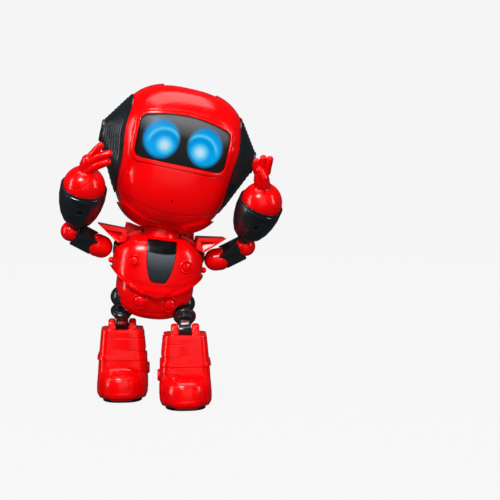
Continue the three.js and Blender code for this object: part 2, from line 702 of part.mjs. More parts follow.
function bootParts(name, side) {
  const ears = rod(4.2, -8.7, 8.7, 'x', [0, 0, ANKLE_HEIGHT])
    .add(box(-8.7, 8.7, -4.2, 4.2, 37.5, ANKLE_HEIGHT));
  const forkGap = box(-4.1, 4.1, -5.6, 5.6, ANKLE_HEIGHT - 4.2, FAR);
  const toeSpace = box(-FAR, FAR, -FAR, SHIN.front + 1, 0, 21.5);
  const knob = (grow) => rod(
    KNOB.radius + grow, ...between(-side, KNOB.from - grow, KNOB.to), 'x', [0, KNOB.depth, KNOB.height],
  );
  const shin = shinBlock(0, SOLE + FIT, BOOT.height, 8)
    .add(bulge(HEEL).intersect(box(-FAR, FAR, 0, FAR, SOLE + FIT, FAR)))
    .add(shinBlock(1, BOOT.ridge, BOOT.ridge + 2.2))
    .add(ears)
    .subtract(forkGap)
    .subtract(rod(1.8, -FAR, FAR, 'x', [0, 0, ANKLE_HEIGHT], 14))
    .subtract(toeSpace)
    .subtract(knob(FIT))
    .subtract(box(-9.5, 9.5, -9, 10, 0, 37));
  const cap = bulge(TOE)
    .intersect(box(-FAR, FAR, -FAR, SHIN.front + 1 - FIT, SOLE + FIT, 21.2))
    .subtract(bulge(TOE, -2.2, 14).intersect(box(-11, 11, -FAR, 0, 0, 14)));
  const sole = raised(soleOutline(), 0, SOLE, 0.3).subtract(box(-4, 4, -8, 8, -1, SOLE + 1));
  return [
    part(`boot_shin_${name}`, shin, 'red'),
    part(`boot_toe_cap_${name}`, cap, 'red'),
    part(`sole_plate_${name}`, sole, 'dark'),
    part(`side_knob_${name}`, knob(0), 'red'),
    part(`drive_motor_${name}`, rod(4.6, -8.5, 8.5, 'x', [0, 3, 24]), 'steel'),
  ];
}

// The wheel and its axle, level with the underside of the sole.
function driveWheel(name) {
  const wheel = rod(WHEEL_RADIUS, -3, 3, 'x', [0, 0, 0], 32).add(rod(1.5, -8.5, 8.5, 'x', [0, 0, 0], 12));
  const mesh = part(`drive_wheel_${name}`, wheel, 'rubber');
  mesh.position.z = WHEEL_RADIUS + 0.05;
  return mesh;
}

// How far a leg is swung forward at rest: just enough to put its boot flat on the floor.
function restSwing(side) {
  return Math.acos((hipOf(side).z - ANKLE_HEIGHT) / LEG) * side;
}

// The place of a leg that has swung forward from rest.
function legMatrix(side, swing = 0) {
  const hip = hipOf(side);
  return new THREE.Matrix4().makeRotationX(swing - restSwing(side)).setPosition(hip);
}

function legAndBoot(name, side) {
  const hip = hipOf(side);
  const swing = restSwing(side);
  const leg = new THREE.Group();
  leg.applyMatrix4(legMatrix(side));
  leg.add(...legParts(name));

  const boot = new THREE.Group();
  boot.position.set(hip.x, hip.y - LEG * Math.sin(swing), 0);
  boot.add(...bootParts(name, side), driveWheel(name));
  return [leg, boot];
}

// ---------- robot ----------

const robot = new THREE.Group();
robot.add(torso);
torso.add(...torsoShells(), neckCollar(), pelvis(), ...torsoInside(), powerSwitch());
torso.add(neckRing(), neckBall());

const headGroup = new THREE.Group();
headGroup.position.z = NECK_PIVOT;
headGroup.rotation.y = rad(HEAD_TILT);
const headCentre = head();
headCentre.position.z = HEAD_ABOVE_PIVOT;
headGroup.add(headCentre);
torso.add(headGroup);

SIDES.forEach(([name, side]) => {
  torso.add(shoulderGuard(name, side), arm(name, side));
  robot.add(...legAndBoot(name, side));
});

// The origin is on the floor under the middle of the robot.
const bounds = new THREE.Box3().setFromObject(robot, true);
const middle = bounds.getCenter(new THREE.Vector3());
robot.position.set(-middle.x, -middle.y, -bounds.min.z);
robot.updateMatrixWorld(true);

export default robot;
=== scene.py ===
import json
import math

import bmesh
import bpy
from mathutils import Matrix, Vector


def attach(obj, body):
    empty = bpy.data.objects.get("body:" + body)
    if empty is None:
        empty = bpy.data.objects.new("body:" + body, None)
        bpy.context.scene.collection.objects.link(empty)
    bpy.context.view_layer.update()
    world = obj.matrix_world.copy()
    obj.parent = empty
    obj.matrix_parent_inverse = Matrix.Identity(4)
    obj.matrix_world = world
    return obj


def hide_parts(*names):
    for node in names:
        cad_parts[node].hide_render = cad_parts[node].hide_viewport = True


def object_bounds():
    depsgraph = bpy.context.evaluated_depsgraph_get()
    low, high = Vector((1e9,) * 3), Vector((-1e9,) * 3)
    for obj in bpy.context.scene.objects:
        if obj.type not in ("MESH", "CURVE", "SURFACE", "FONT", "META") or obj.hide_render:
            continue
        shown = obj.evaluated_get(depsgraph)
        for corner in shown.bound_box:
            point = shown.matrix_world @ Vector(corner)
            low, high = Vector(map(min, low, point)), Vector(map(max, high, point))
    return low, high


# Toy robot in metres, +Z up, facing -Y. "left" and "right" are as seen by someone facing it.
# Every part is drawn in millimetres in the frame of the body it belongs to, then put in its place.

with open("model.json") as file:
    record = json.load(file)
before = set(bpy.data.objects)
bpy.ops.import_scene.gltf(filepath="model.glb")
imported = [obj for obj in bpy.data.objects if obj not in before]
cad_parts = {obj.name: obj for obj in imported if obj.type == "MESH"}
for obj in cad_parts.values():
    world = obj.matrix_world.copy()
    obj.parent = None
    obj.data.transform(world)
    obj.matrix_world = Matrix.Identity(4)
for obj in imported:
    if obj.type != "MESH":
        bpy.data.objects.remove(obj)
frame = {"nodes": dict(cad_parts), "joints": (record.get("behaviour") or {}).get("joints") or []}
cad_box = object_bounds()

MM = 0.001
FIT = 0.3  # gap between neighbouring mouldings, mm
SEAM_GAP = 0.14  # what is left of it where two eased edges meet
SIDES = (("left", -1), ("right", 1))
FAR = 70  # mm, beyond every part, for the cutting solids

joints = {j["name"]: j for j in frame["joints"]}


# ---------- the bodies' own frames ----------

def position(joint):
    return Vector(joints[joint]["pos_m"])


def direction(joint):
    return Vector(joints[joint]["axis"]).normalized()


def placement(origin, x_axis, z_axis):
    """The matrix from millimetres in a body's own frame to metres in the row frame."""
    z = z_axis.normalized()
    y = z.cross(x_axis).normalized()
    x = y.cross(z)
    turn = Matrix((x, y, z)).transposed().to_4x4()
    return Matrix.Translation(origin) @ turn @ Matrix.Scale(MM, 4)


NECK_PIVOT = 32  # mm above the torso's centre
HEAD_ABOVE_PIVOT = 39.3
HEAD_TILT = math.radians(4.7)
UPPER_ARM = 18.6
CUP_RIM = 33.2
CUP_INBOARD = 2.5
LEG = 22.5
ANKLE_HEIGHT = 46


def all_places():
    places = {}
    neck = position("neck_turn")
    up = direction("neck_turn")
    across = direction("neck_nod")
    for body in ("torso", "neck_turner", "neck_nodder", "switch"):
        places[body] = placement(neck - up * NECK_PIVOT * MM, across, up)
    tilt = Matrix.Rotation(HEAD_TILT, 3, direction("neck_tilt"))
    places["head"] = placement(neck + tilt @ up * HEAD_ABOVE_PIVOT * MM, tilt @ across, tilt @ up)
    for name, side in SIDES:
        shoulder = position(f"shoulder_lift_{name}")
        elbow = position(f"elbow_bend_{name}")
        wrist = position(f"wrist_turn_{name}")
        depth = direction(f"elbow_bend_{name}") * side
        forearm_up = direction(f"wrist_turn_{name}") * side
        hip = position(f"hip_swing_{name}")
        ankle = position(f"ankle_pitch_{name}")
        places[f"shoulder_{name}"] = placement(shoulder, across, across.cross(depth))
        places[f"upper_arm_{name}"] = placement(shoulder, depth.cross(elbow - shoulder), elbow - shoulder)
        places[f"forearm_{name}"] = placement(elbow, depth.cross(forearm_up), forearm_up)
        places[f"hand_{name}"] = placement(wrist, depth.cross(forearm_up), forearm_up)
        places[f"leg_{name}"] = placement(hip, direction(f"hip_swing_{name}"), hip - ankle)
        floor_point = Vector((ankle.x, ankle.y, 0))
        places[f"boot_{name}"] = placement(floor_point, Vector((1, 0, 0)), Vector((0, 0, 1)))
        places[f"wheel_{name}"] = places[f"boot_{name}"]
    return places


PLACES = all_places()


# ---------- solids ----------

def mesh_object(name, points, faces):
    mesh = bpy.data.meshes.new(name)
    mesh.from_pydata([tuple(p) for p in points], [], faces)
    mesh.update()
    thing = bpy.data.objects.new(name, mesh)
    bpy.context.scene.collection.objects.link(thing)
    return thing


def discard(thing):
    mesh = thing.data
    bpy.data.objects.remove(thing)
    bpy.data.meshes.remove(mesh)


def bake(thing):
    """Applies a solid's modifiers to its mesh."""
    bpy.context.view_layer.update()
    evaluated = thing.evaluated_get(bpy.context.evaluated_depsgraph_get())
    mesh = bpy.data.meshes.new_from_object(evaluated)
    old = thing.data
    thing.modifiers.clear()
    thing.data = mesh
    bpy.data.meshes.remove(old)
    return thing


def boolean(thing, other, operation):
    step = thing.modifiers.new("boolean", "BOOLEAN")
    step.operation = operation
    step.solver = "MANIFOLD"
    step.object = other
    bake(thing)
    discard(other)
    return thing


def cut(thing, *others):
    for other in others:
        boolean(thing, other, "DIFFERENCE")
    return thing


def join(thing, *others):
    for other in others:
        boolean(thing, other, "UNION")
    return thing


def common(thing, *others):
    for other in others:
        boolean(thing, other, "INTERSECT")
    return thing


def closed(name, points, faces):
    """A mesh object whose faces all point outwards."""
    thing = mesh_object(name, points, faces)
    work = bmesh.new()
    work.from_mesh(thing.data)
    bmesh.ops.remove_doubles(work, verts=work.verts, dist=1e-5)
    bmesh.ops.recalc_face_normals(work, faces=work.faces)
    if work.calc_volume(signed=True) < 0:
        bmesh.ops.reverse_faces(work, faces=work.faces)
    work.to_mesh(thing.data)
    work.free()
    return thing


def ring_faces(rows, around):
    """Quads between rows of points that each close on themselves."""
    faces = []
    for row in range(rows - 1):
        for i in range(around):
            j = (i + 1) % around
            low, high = row * around, (row + 1) * around
            faces.append((low + i, low + j, high + j, high + i))
    return faces


def power(value, exponent):
    return abs(value) ** exponent


def smoothstep(value, low, high):
    t = min(max((value - low) / (high - low), 0), 1)
    return t * t * (3 - 2 * t)


def bulge(size, grow=0.0, around=96, along=64):
    """A rounded box whose half sizes differ above and below, and in front of and behind its centre."""
    points = []
    for row in range(along + 1):
        polar = math.pi * row / along
        for i in range(around):
            turn = 2 * math.pi * i / around
            d = Vector((math.cos(polar), math.sin(polar) * math.cos(turn), math.sin(polar) * math.sin(turn)))
            low_width = size.get("low_width", size["width"])
            width = low_width + (size["width"] - low_width) * smoothstep(d.z, -0.35, 0.35) + grow
            depth = (size["front"] if d.y < 0 else size["back"]) + grow
            height = (size["up"] if d.z > 0 else size["down"]) + grow
            plan = size.get("plan", size["power"])
            flat = (power(d.x / width, plan) + power(d.y / depth, plan)) ** (size["power"] / plan)
            reach = (flat + power(d.z / height, size["power"])) ** (-1 / size["power"])
            points.append(d * reach + Vector((0, -size.get("ahead", 0), size.get("centre", 0))))
    return closed("bulge", points, ring_faces(along + 1, around))


def box(x0, x1, y0, y1, z0, z1):
    points = [(x, y, z) for x in (x0, x1) for y in (y0, y1) for z in (z0, z1)]
    faces = [(0, 1, 3, 2), (4, 6, 7, 5), (0, 4, 5, 1), (2, 3, 7, 6), (0, 2, 6, 4), (1, 5, 7, 3)]
    return closed("box", points, faces)


def prism(outline, low, high, to_space):
    """An outline pushed from one height to another; to_space(u, v, height) gives the point."""
    count = len(outline)
    points = [to_space(u, v, low) for u, v in outline] + [to_space(u, v, high) for u, v in outline]
    faces = [tuple(range(count)), tuple(range(2 * count - 1, count - 1, -1))]
    faces += [(i, (i + 1) % count, (i + 1) % count + count, i + count) for i in range(count)]
    return closed("prism", points, faces)


def slab(outline, y_front, y_back):
    """A front outline (x, z) pushed through from front to back."""
    return prism(outline, y_front, y_back, lambda u, v, h: (u, h, v))


def raised(outline, z_low, z_high):
    """A floor outline (x, y) raised from one height to another."""
    return prism(outline, z_low, z_high, lambda u, v, h: (u, v, h))


def arc(centre_x, centre_y, radius, start, end):
    """Points of a circular arc, angles in degrees."""
    steps = 10
    angles = [math.radians(start + (end - start) * i / steps) for i in range(steps + 1)]
    return [(centre_x + radius * math.cos(a), centre_y + radius * math.sin(a)) for a in angles]


def rounded_box(half, low, high, corner):
    return (
        arc(half - corner, low + corner, corner, -90, 0)
        + arc(half - corner, high - corner, corner, 0, 90)
        + arc(-half + corner, high - corner, corner, 90, 180)
        + arc(-half + corner, low + corner, corner, 180, 270)
    )


def turned(profile, around=64, to_space=lambda x, y, z: (x, y, z)):
    """A solid of revolution about Z from (radius, height) pairs that start and end on the axis."""
    points = []
    for radius, height in profile:
        for i in range(around):
            turn = 2 * math.pi * i / around
            points.append(to_space(radius * math.cos(turn), radius * math.sin(turn), height))
    return closed("turned", points, ring_faces(len(profile), around))


AXES = {
    "x": lambda x, y, z: (z, x, y),
    "y": lambda x, y, z: (x, z, y),
    "z": lambda x, y, z: (x, y, z),
}


def rod(radius, low, high, axis="z", at=(0, 0, 0), around=40, edge=0.0):
    """A cylinder with its ends eased by `edge`, along an axis through the point `at`."""
    profile = [(0, low), (radius - edge, low), (radius, low + edge), (radius, high - edge),
               (radius - edge, high), (0, high)]
    if not edge:
        profile = [(0, low), (radius, low), (radius, high), (0, high)]
    place = AXES[axis]

    def to_space(x, y, z):
        return tuple(a + b for a, b in zip(place(x, y, z), at))

    return turned(profile, around, to_space)


def ball(radius, at=(0, 0, 0), around=48):
    rows = around // 2
    profile = [(radius * math.sin(math.pi * i / rows), -radius * math.cos(math.pi * i / rows))
               for i in range(rows + 1)]
    return turned(profile, around, lambda x, y, z: (x + at[0], y + at[1], z + at[2]))


def capsule(start, end, radius, around=28, end_radius=None):
    """A round-ended stick between two points, tapering to end_radius."""
    start, end = Vector(start), Vector(end)
    length = (end - start).length
    tip = end_radius or radius
    rows = 8
    profile = [(radius * math.cos(a), radius * math.sin(a))
               for a in (-math.pi / 2 + math.pi / 2 * i / rows for i in range(rows + 1))]
    profile += [(tip * math.cos(a), length + tip * math.sin(a))
                for a in (math.pi / 2 * i / rows for i in range(rows + 1))]
    spin = Vector((0, 0, 1)).rotation_difference(end - start)
    return turned(profile, around, lambda x, y, z: tuple(start + spin @ Vector((x, y, z))))


def skin(size, outside, inside):
    return cut(bulge(size, outside), bulge(size, inside, 48, 32))


def below_curve(middle, side, half_width, drop=0.0):
    """Everything below a smile-shaped curve that is lowest at x = 0, from front to back."""
    reach = 48
    steps = 64
    outline = [(reach, -2 * FAR), (-reach, -2 * FAR)]
    for i in range(steps + 1):
        x = -reach + 2 * reach * i / steps
        outline.append((x, middle + (side - middle) * (x / half_width) ** 2 - drop))
    return slab(outline, -FAR, FAR)


# ---------- finished pieces ----------

CREASE = math.radians(38)  # edges sharper than this are eased and drawn as edges


def piece(solid, name, body, material, replaced=(), edge=0.25):
    """Puts a solid in its body's place, eases its edges and gives it its material."""
    solid.name = name
    solid.data.name = name
    solid.data.transform(PLACES[body])
    if edge:
        ease = solid.modifiers.new("edges", "BEVEL")
        ease.width = edge * MM
        ease.segments = 2
        ease.limit_method = "ANGLE"
        ease.angle_limit = CREASE
        bake(solid)
    solid.data.materials.clear()
    solid.data.materials.append(material)
    solid.data.shade_smooth()
    solid.data.set_sharp_from_angle(angle=CREASE)
    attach(solid, body)
    if replaced:
        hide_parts(*replaced)
    return solid


# ---------- materials ----------

class Nodes:
    """Short names for building a material's node tree."""

    def __init__(self, name, slot=None):
        self.material = bpy.data.materials.new(name)
        self.material.use_nodes = True
        self.tree = self.material.node_tree
        self.shader = self.tree.nodes["Principled BSDF"]

    def link(self, source, target):
        self.tree.links.new(source, target)

    def math(self, operation, a, b=0.0):
        node = self.tree.nodes.new("ShaderNodeMath")
        node.operation = operation
        for socket, value in zip(node.inputs, (a, b)):
            if isinstance(value, (int, float)):
                socket.default_value = value
            else:
                self.link(value, socket)
        return node.outputs[0]

    def ramp(self, value, stops):
        """A colour ramp from (place, colour) stops."""
        node = self.tree.nodes.new("ShaderNodeValToRGB")
        band = node.color_ramp
        while len(band.elements) < len(stops):
            band.elements.new(0.5)
        for element, (place, colour) in zip(band.elements, stops):
            element.position = place
            element.color = (*colour, 1)
        self.link(value, node.inputs["Fac"])
        return node.outputs["Color"]

    def span(self, value, low, high, to_low, to_high):
        node = self.tree.nodes.new("ShaderNodeMapRange")
        for key, number in zip(("From Min", "From Max", "To Min", "To Max"), (low, high, to_low, to_high)):
            node.inputs[key].default_value = number
        self.link(value, node.inputs["Value"])
        return node.outputs["Result"]

    def mix(self, share, first, second):
        """The first colour where share is 0 and the second where it is 1."""
        node = self.tree.nodes.new("ShaderNodeMix")
        node.data_type = "RGBA"
        self.link(share, node.inputs["Factor"])
        for socket, value in zip((node.inputs[6], node.inputs[7]), (first, second)):
            if isinstance(value, tuple):
                socket.default_value = (*value, 1)
            else:
                self.link(value, socket)
        return node.outputs[2]

    def noise(self, scale, detail=3.0):
        node = self.tree.nodes.new("ShaderNodeTexNoise")
        node.inputs["Scale"].default_value = scale
        node.inputs["Detail"].default_value = detail
        self.link(self.place(), node.inputs["Vector"])
        return node.outputs["Fac"]

    def place(self):
        """The point on the object, in metres in the row frame at rest."""
        node = self.tree.nodes.get("Texture Coordinate") or self.tree.nodes.new("ShaderNodeTexCoord")
        return node.outputs["Object"]

    def bump(self, height, distance):
        node = self.tree.nodes.new("ShaderNodeBump")
        node.inputs["Distance"].default_value = distance
        self.link(height, node.inputs["Height"])
        self.link(node.outputs["Normal"], self.shader.inputs["Normal"])


def plastic(name, colour, deep, roughness, grain, shine=0.5, grain_size=900):
    """Moulded plastic: uneven colour, a handled surface's varying gloss, fine grain and flow marks."""
    n = Nodes(name)
    mottle = n.noise(45, 4)
    n.link(n.ramp(mottle, ((0.35, deep), (0.65, colour))), n.shader.inputs["Base Color"])
    smears = n.noise(160, 5)
    n.link(n.span(smears, 0.3, 0.7, roughness * 0.8, roughness * 1.25), n.shader.inputs["Roughness"])
    fine = n.noise(grain_size, 2)
    flow = n.noise(120, 2)
    n.bump(n.math("ADD", fine, n.math("MULTIPLY", flow, 0.6)), grain)
    n.shader.inputs["Specular IOR Level"].default_value = shine
    return n.material


RED = plastic("red_plastic", (0.84, 0.000, 0.001), (0.78, 0.000, 0.001), 0.19, 0.000008, shine=0.45)
DARK = plastic("dark_plastic", (0.009, 0.013, 0.016), (0.006, 0.009, 0.012), 0.22, 0.00003, shine=0.9)
BLACK = plastic("black_gloss", (0.010, 0.012, 0.014), (0.007, 0.009, 0.011), 0.14, 0.00001)


def metal(name, colour, roughness):
    n = Nodes(name)
    dull = tuple(0.8 * c for c in colour)
    n.link(n.ramp(n.noise(300), ((0.3, colour), (0.7, dull))), n.shader.inputs["Base Color"])
    n.link(n.span(n.noise(700), 0.3, 0.7, roughness * 0.8, roughness * 1.3), n.shader.inputs["Roughness"])
    n.shader.inputs["Metallic"].default_value = 1.0
    n.bump(n.noise(1500, 2), 0.00002)
    return n.material


def glow_material():
    n = Nodes("eye_light")
    n.shader.inputs["Base Color"].default_value = (0.01, 0.3, 0.8, 1)
    n.link(n.span(n.noise(400), 0.3, 0.7, 0.35, 0.5), n.shader.inputs["Roughness"])
    n.shader.inputs["Emission Color"].default_value = (0.01, 0.35, 0.85, 1)
    n.shader.inputs["Emission Strength"].default_value = 1.0
    n.bump(n.noise(900, 2), 0.00002)
    return n.material


STEEL = metal("motor_steel", (0.55, 0.57, 0.58), 0.3)
GLOW = glow_material()
BOARD = plastic("circuit_board", (0.02, 0.16, 0.06), (0.01, 0.11, 0.04), 0.4, 0.00003)
RUBBER = plastic("tyre_rubber", (0.012, 0.012, 0.012), (0.02, 0.02, 0.02), 0.75, 0.0001, grain_size=600)


def in_body(n, body):
    """The point in a body's own frame, in millimetres, as X, Y and Z sockets."""
    inverse = PLACES[body].inverted()
    node = n.tree.nodes.new("ShaderNodeMapping")
    node.inputs["Scale"].default_value = inverse.to_scale()
    node.inputs["Rotation"].default_value = inverse.to_euler()
    node.inputs["Location"].default_value = inverse.to_translation()
    n.link(n.place(), node.inputs["Vector"])
    split = n.tree.nodes.new("ShaderNodeSeparateXYZ")
    n.link(node.outputs["Vector"], split.inputs["Vector"])
    return split.outputs


EYE = {"x": 13.2, "z": 8.7, "half_width": 10.7, "half_height": 11.8}
CORE = {"x": 10.7, "z": 5.2}


def distance(n, across, up, x, z, half_width=1.0, half_height=1.0):
    dx = n.math("DIVIDE", n.math("SUBTRACT", across, x), half_width)
    dz = n.math("DIVIDE", n.math("SUBTRACT", up, z), half_height)
    return n.math("SQRT", n.math("ADD", n.math("MULTIPLY", dx, dx), n.math("MULTIPLY", dz, dz)))


def screen_material():
    """The visor's dark pane, with the light of the two eyes coming through it and a painted reflection that
    greys it towards its top.
    """
    n = Nodes("visor_screen", "black_gloss")
    x, _, z = in_body(n, "head")
    across = n.math("ABSOLUTE", x)
    # painted reflection: the pane goes from near black at its bottom to grey at its top
    tone_with_painted_reflection = n.ramp(n.span(z, -6, 25, 0, 1), ((0, (0.006, 0.007, 0.008)), (0.55, (0.012, 0.013, 0.014)),
                                            (1, (0.16, 0.16, 0.165))))
    n.link(n.span(n.noise(200), 0.3, 0.7, 0.32, 0.42), n.shader.inputs["Roughness"])
    n.shader.inputs["Specular IOR Level"].default_value = 0.15
    n.bump(n.noise(60, 2), 0.00001)

    rim = distance(n, across, z, EYE["x"], EYE["z"], EYE["half_width"], EYE["half_height"])
    lit = n.span(rim, 0.84, 1.06, 1.0, 0.0)
    n.link(n.mix(lit, tone_with_painted_reflection, (0, 0, 0)), n.shader.inputs["Base Color"])
    core = distance(n, across, z, CORE["x"], CORE["z"])
    reach = n.span(core, 0, 14, 0, 1)
    pale, sky = (0.50, 0.74, 0.86), (0.10, 0.56, 0.88)
    blue, deep = (0.000, 0.36, 0.80), (0.000, 0.26, 0.64)
    # the lighter sky ring over the upper half of each eye is a painted highlight on the pane, laid on the
    # eye's own glow
    upper = n.ramp(reach, (
        (0.00, pale), (0.10, pale), (0.27, sky), (0.40, blue), (0.54, deep), (0.61, blue), (0.70, sky),
        (0.80, blue), (1.00, deep)))
    lower = n.ramp(reach, ((0.00, pale), (0.10, pale), (0.27, sky), (0.42, blue), (1.00, blue)))
    glow = n.mix(n.span(z, 5, 9, 0, 1), lower, upper)
    n.link(glow, n.shader.inputs["Emission Color"])
    n.link(lit, n.shader.inputs["Emission Strength"])
    return n.material


def panel_material():
    """The chest plate: a black top strip above a glossy dark grey with a painted reflection, lightest just
    under the strip and fading downwards.
    """
    n = Nodes("chest_plate", "black_gloss")
    x, _, z = in_body(n, "torso")
    bend = n.math("MULTIPLY", n.math("MULTIPLY", x, x), 0.012)
    edge = n.math("SUBTRACT", z, bend)
    # painted reflection: the grey is lightest just below the black strip and darkens towards the bottom
    tone_with_painted_reflection = n.ramp(n.span(edge, -8, 20, 0, 1), (
        (0.00, (0.008, 0.011, 0.013)), (0.35, (0.022, 0.028, 0.033)), (0.70, (0.085, 0.10, 0.11)),
        (0.725, (0.002, 0.002, 0.003)), (1.00, (0.002, 0.002, 0.003))))
    n.link(tone_with_painted_reflection, n.shader.inputs["Base Color"])
    n.link(n.span(n.noise(180), 0.3, 0.7, 0.20, 0.30), n.shader.inputs["Roughness"])
    n.bump(n.noise(900, 2), 0.00002)
    return n.material


# ---------- head ----------

HEAD = {"width": 41, "low_width": 36.2, "front": 34, "back": 33, "up": 43.6, "down": 45.3, "power": 2.7}
WALL = 1.8
VISOR = {"half": 27.4, "bottom": -4.8, "top": 24.8, "corner": 5, "arch": 3.4}
BEZEL = 2.3
CROWN_HALF = 16.6
CROWN_LOW = 38.8
JAW = (-34, -27.5, 29)  # the seam's height in the middle and at the side, and the half width between
JAW_HOLE = 13
JAW_FLOOR = -30  # the neck hole is cut below this height
CHEEK_PLATE = ((9, -50), (11, -41), (26, -34), (32, -34), (32, -50))
CHEEK_DEPTH = (-30, -6)
HEAD_SPLIT = 4  # depth where the front shell meets the rear one
MOUTH_HOLE = {"radius": 0.6, "at": (0.7, 0, -26.2)}
RELIEF = {"crown": -0.9, "bezel": 0.9, "screen": -0.7, "cheek": 1.5}  # above or below the head's skin


def visor_outline(grow):
    half = VISOR["half"] + grow
    low = VISOR["bottom"] - grow
    high = VISOR["top"] + grow - VISOR["arch"]
    corner = VISOR["corner"] + grow * 0.6
    outline = arc(half - corner, low + corner, corner, -90, 0)
    outline += arc(half - corner, high - corner, corner, 0, 82)
    steps = 24
    reach = half - corner
    for i in range(1, steps):
        x = reach * (1 - 2 * i / steps)
        outline.append((x, high + VISOR["arch"] * (1 - (x / reach) ** 2)))
    outline += arc(-half + corner, high - corner, corner, 98, 180)
    return outline + arc(-half + corner, low + corner, corner, 180, 270)


def head_shells():
    def shell():
        body = cut(skin(HEAD, 0, -WALL), below_curve(*JAW))
        return cut(body, slab(rounded_box(CROWN_HALF + SEAM_GAP, CROWN_LOW, FAR, 3), -FAR, FAR))

    front = cut(shell(), box(-FAR, FAR, HEAD_SPLIT, FAR, -FAR, FAR),
                slab(visor_outline(BEZEL + SEAM_GAP), -FAR, 0),
                rod(MOUTH_HOLE["radius"], -FAR, 0, "y", MOUTH_HOLE["at"]))
    rear = cut(shell(), box(-FAR, FAR, -FAR, HEAD_SPLIT + SEAM_GAP, -FAR, FAR))
    piece(front, "head_front", "head", RED, ["head_front_shell"])
    piece(rear, "head_rear", "head", RED, ["head_rear_shell"])
    strip = slab(rounded_box(CROWN_HALF, CROWN_LOW + SEAM_GAP, FAR, 3), -FAR, FAR)
    sunk = RELIEF["crown"]
    piece(common(skin(HEAD, sunk, sunk - WALL), strip), "crown", "head", RED, ["crown_plate"])


def jaw():
    def side_plate(side):
        outline = slab([(side * x, z) for x, z in CHEEK_PLATE], *CHEEK_DEPTH)
        return common(skin(HEAD, RELIEF["cheek"], -WALL / 2), outline)

    body = join(skin(HEAD, 0, -WALL), side_plate(-1), side_plate(1))
    body = common(body, below_curve(*JAW, drop=SEAM_GAP))
    cut(body, rod(JAW_HOLE, -FAR, JAW_FLOOR))
    piece(body, "jaw", "head", RED, ["jaw_shell"])


def visor():
    ring = cut(slab(visor_outline(BEZEL), -FAR, 0), slab(visor_outline(0), -FAR, 0))
    frame_skin = skin(HEAD, RELIEF["bezel"], -WALL - 0.6)
    piece(common(frame_skin, ring), "bezel", "head", RED, ["visor_bezel"], edge=0.8)
    sunk = RELIEF["screen"]
    pane = common(skin(HEAD, sunk, sunk - WALL), slab(visor_outline(-FIT), -FAR, 0))
    piece(pane, "screen", "head", screen_material(), ["visor_lens"], edge=0)


EAR = {"hub_z": 8, "up": 24, "down": 37, "depth": 23, "reach": 47, "ribs": 9, "rib": 0.03, "hub": 0.235}
EAR_PROUD = 0.9  # how far its rim stands off the head


def side_of(size, y, z):
    """Half width of a bulge at a point seen from the side."""
    depth = size["front"] if y < 0 else size["back"]
    height = size["up"] if z > 0 else size["down"]
    reach = math.hypot(y, z)
    low_width = size.get("low_width", size["width"])
    width = low_width + (size["width"] - low_width) * smoothstep(z / max(reach, 1) * 0.7, -0.35, 0.35)
    left = 1 - power(y / depth, size["power"]) - power(z / height, size["power"])
    return width * max(left, 0) ** (1 / size["power"])


def ear_cap(name, side):
    """A ribbed cone from the side of the head out to a flat boss."""
    steps = 96
    profile = [(0, -9), (1, -9), (1, 0)]
    for i in range(steps + 1):
        climb = i / steps
        rib = 1 - abs(2 * ((climb * EAR["ribs"]) % 1) - 1)
        profile.append((1 - (1 - EAR["hub"]) * climb, climb + EAR["rib"] * rib * min(1, 6 * climb)))
    profile += [(0.22, 1.08), (0.19, 1.1), (0.1, 1.1), (0.09, 1.06), (0, 1.06)]

    def to_space(x, y, climb):
        share = math.hypot(x, y)
        corner = 3 if y > 0 else 2
        turn_x, turn_y = (x / share, y / share) if share > 1e-9 else (1, 0)
        reach = (power(turn_x, corner) + power(turn_y, corner)) ** (-1 / corner)
        height = EAR["up"] if y > 0 else EAR["down"]
        rim_y, rim_z = turn_x * reach * EAR["depth"], EAR["hub_z"] + turn_y * reach * height
        rim = side_of(HEAD, rim_y, rim_z) + EAR_PROUD
        out = rim + (EAR["reach"] - rim) * climb if climb > 0 else rim + climb
        return side * out, share * rim_y, EAR["hub_z"] + share * (rim_z - EAR["hub_z"])

    cap = cut(turned(profile, 128, to_space), bulge(HEAD, FIT))
    piece(cap, f"ear_{name}", "head", DARK, [f"ear_cap_{name}"], edge=0)


def head():
    head_shells()
    jaw()
    visor()
    for name, side in SIDES:
        ear_cap(name, side)


head()


# ---------- neck and torso ----------

CHEST = {"width": 27.8, "front": 21, "back": 20, "up": 20.5, "down": 34, "centre": 4.5, "power": 2.6}
PELVIS = {"width": 24, "front": 16.2, "back": 15.2, "up": 20, "down": 20.7, "centre": -9, "power": 2.4}
LIP = (-14.3, -2.7, 26)  # curves are height in the middle, height at the side and half width
LIP_HEIGHT = 0.9
BAND = (-7.4, -0.6, 26)
BUCKLE = {"half": 8, "top": -9.8, "low": -14.8}
SEAM = (-26.4, -21, 18)
PELVIS_FOOT = 0.55  # how far the pelvis stands out below its seam
PANEL = {"top": 20, "bottom": -5.2, "half": 8.7, "foot": 3}
CHEST_BOSS = (15.8, 6)
BELLY_BOSS = (8.9, -18.4)
NECK_HOLE = 12.7
TORSO_SPLIT = 2
DOOR = {"half": 12, "low": -7, "high": 13, "corner": 2}
SHOULDER_Z = 11.6
STUB_RADIUS = 4
SIDE_STUD = {"radius": 1.9, "x": 28.6, "y": -3, "z": 3.8}
SWITCH_SLOT = (-21, -14, 8, FAR, 3, 7)
HIP = (19.6, -18.5)
HIP_BALL = 6.8
HIP_SWING = (-8, 0, 10)  # degrees, the ends of the swing and rest


def front_of(size, x, z):
    """Depth of a bulge's front surface at a point seen from the front."""
    plan = size.get("plan", size["power"])
    up = z - size.get("centre", 0)
    height = size["up"] if up > 0 else size["down"]
    left = (1 - power(up / height, size["power"])) ** (plan / size["power"]) - power(x / size["width"], plan)
    return -size["front"] * left ** (1 / plan) - size.get("ahead", 0)


